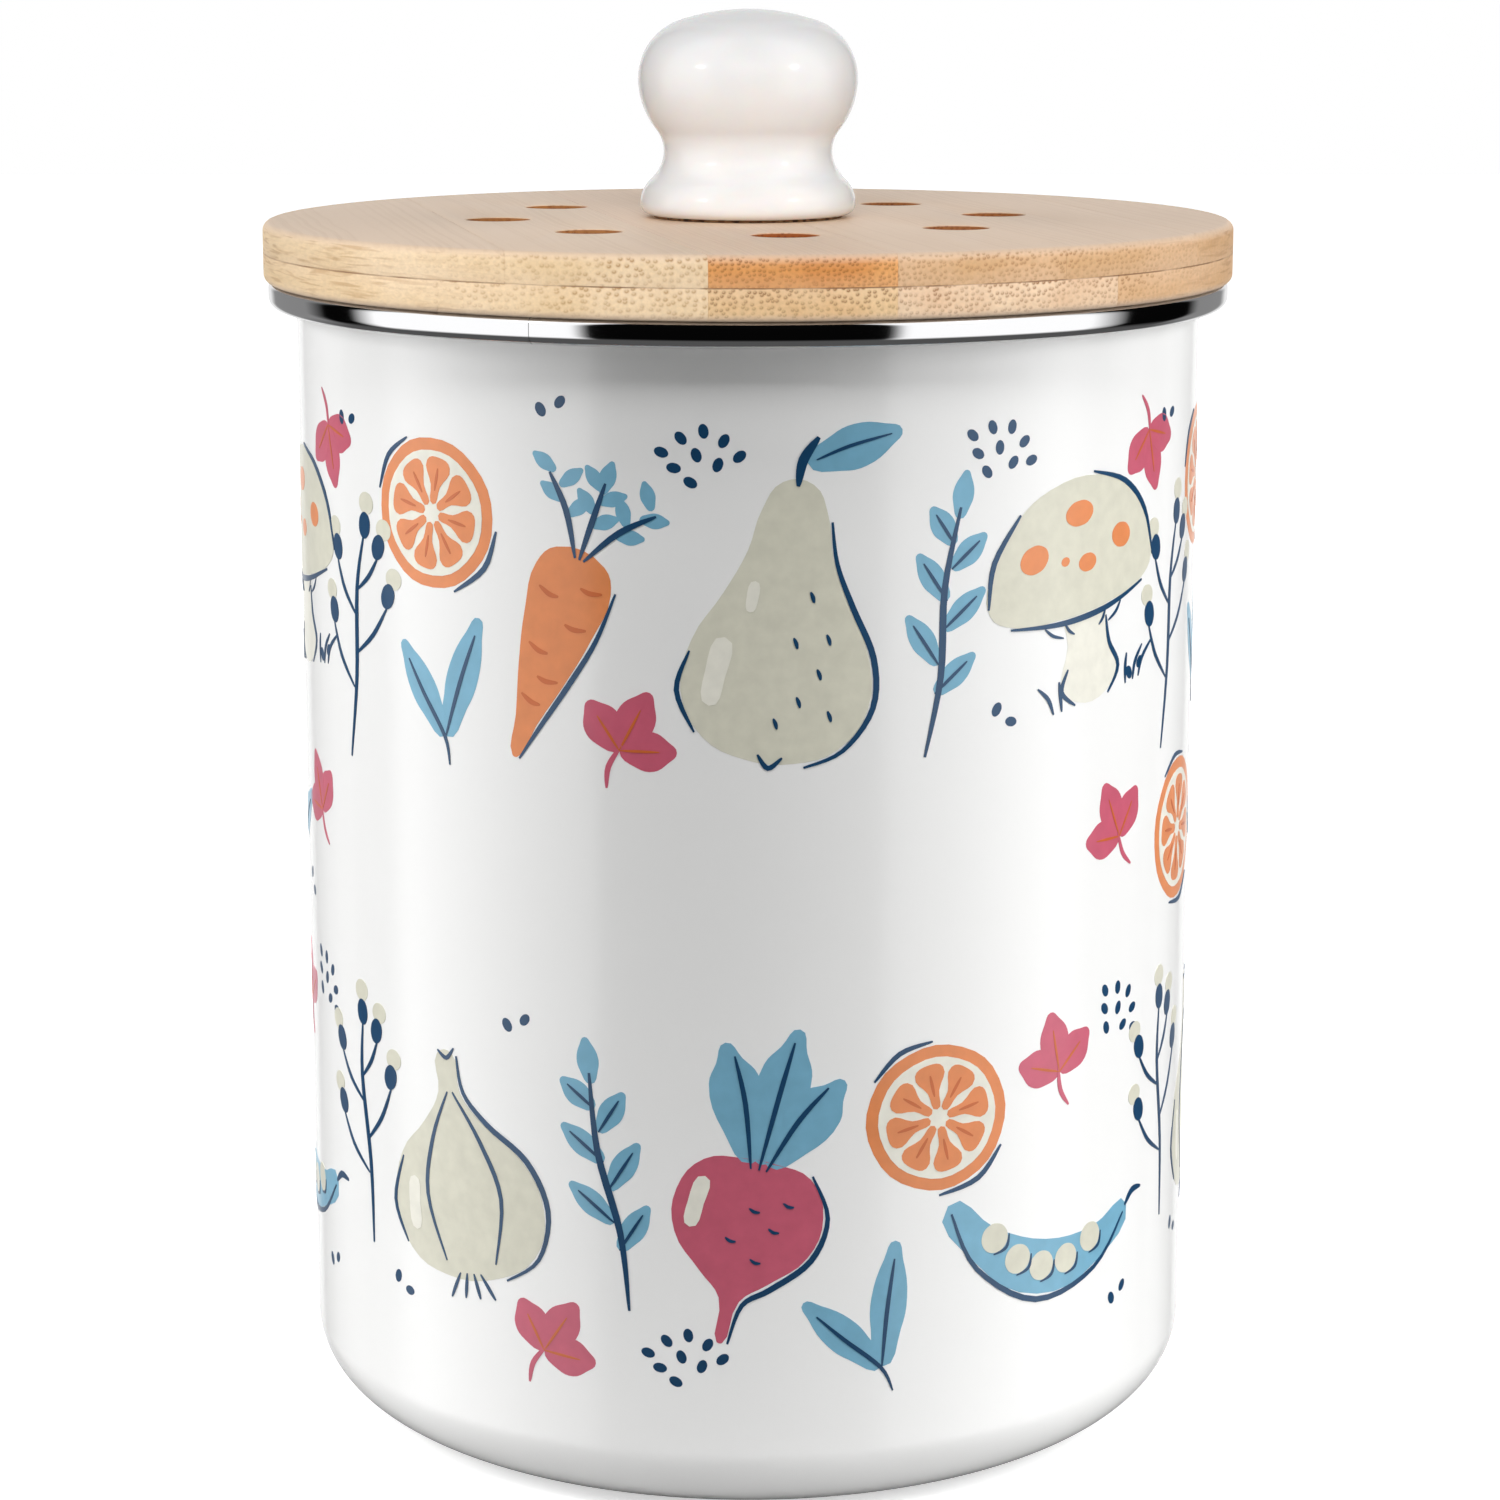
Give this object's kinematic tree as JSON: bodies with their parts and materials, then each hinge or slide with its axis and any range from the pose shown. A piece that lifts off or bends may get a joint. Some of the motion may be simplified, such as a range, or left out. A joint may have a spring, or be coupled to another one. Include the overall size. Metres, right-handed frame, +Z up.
{
  "type": "compost caddy",
  "caption": "Enamelled steel compost caddy with a rolled stainless rim and a lift-off bamboo lid that has vent holes, a ceramic knob and a charcoal filter in a bayonet holder.",
  "frame": {"origin": "centre of the foot ring's underside, on the surface that the caddy stands on", "axes": "+Z up along the drum's axis; -Y is the front, where the lid's fibres and seams are set from; +X is to the right seen from the front"},
  "size_m": [0.18, 0.18, 0.2605],
  "materials": {
    "white_enamel": "gloss vitreous enamel on steel with a printed pattern",
    "polished_stainless": "mirror polished stainless steel",
    "bamboo": "oiled laminated bamboo",
    "silicone": "translucent white silicone",
    "glazed_ceramic": "clear gloss glaze on white ceramic",
    "cork_pad": "dark pressed cork and rubber sheet",
    "brass": "turned brass",
    "zinc_steel": "bright zinc plated steel",
    "white_plastic": "fine-textured moulded polypropylene",
    "charcoal_felt": "needle-punched felt loaded with activated charcoal"
  },
  "bodies": {
    "canister": {"canister_shell": "white_enamel", "rim_band": "polished_stainless"},
    "lid": {"upper_strip_1": "bamboo", "upper_strip_2": "bamboo", "upper_strip_3": "bamboo", "upper_strip_4": "bamboo", "upper_strip_5": "bamboo", "upper_strip_6": "bamboo", "lower_strip_1": "bamboo", "lower_strip_2": "bamboo", "lower_strip_3": "bamboo", "lower_strip_4": "bamboo", "lower_strip_5": "bamboo", "plug_ring": "bamboo", "lid_seal": "silicone", "knob": "glazed_ceramic", "knob_pad": "cork_pad", "knob_insert": "brass", "knob_screw": "zinc_steel", "screw_washer": "zinc_steel", "filter_housing": "white_plastic", "housing_screws": "zinc_steel", "charcoal_filter": "charcoal_felt"},
    "filter_cover": {"filter_cover": "white_plastic"}
  },
  "joints": [
    {"name": "lid_lift", "type": "slide", "parent": "canister", "child": "lid", "axis": [0, 0, 1], "range_m": [0, 0.15]},
    {"name": "filter_cover_twist", "type": "hinge", "parent": "lid", "child": "filter_cover", "pos_m": [0, 0, 0.1952], "axis": [0, 0, -1], "range_deg": [0, 22]}
  ]
}
